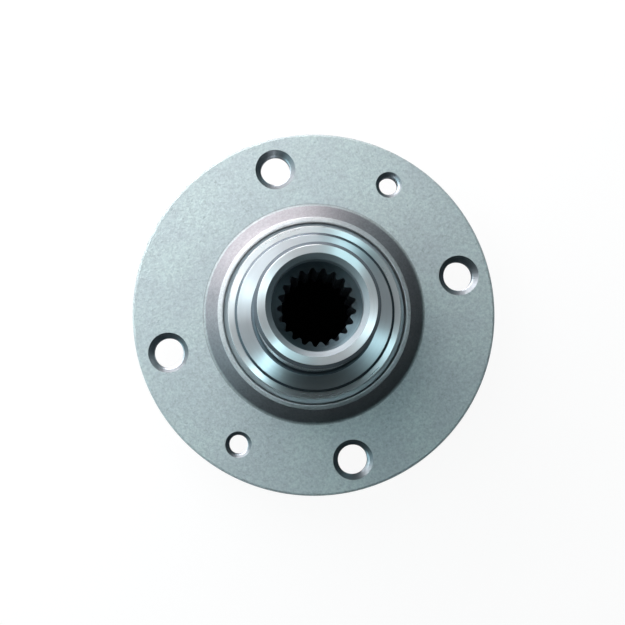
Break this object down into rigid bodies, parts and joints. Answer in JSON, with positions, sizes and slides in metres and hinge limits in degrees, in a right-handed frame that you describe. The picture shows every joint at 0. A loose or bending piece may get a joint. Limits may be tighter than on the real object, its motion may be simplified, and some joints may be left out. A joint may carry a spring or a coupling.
{
  "type": "wheel hub",
  "caption": "Flanged driven-wheel hub with a bearing journal nose, an internally splined bore, tapped wheel bolt holes and a pressed-on seal ring.",
  "frame": {"origin": "on the bore axis, in the plane of the spigot's end face, on which the hub stands with its nose up", "axes": "+Z along the bore axis towards the journal's nose (inboard on the car); +X through one of the four wheel bolt holes"},
  "size_m": [0.13, 0.13, 0.075],
  "materials": {
    "forged_steel": "shot-blasted forging with bright turned rings",
    "hardened_steel": "fine turned and bright"
  },
  "bodies": {
    "root": {"hub_flange": "forged_steel", "seal_ring": "hardened_steel"}
  },
  "joints": []
}
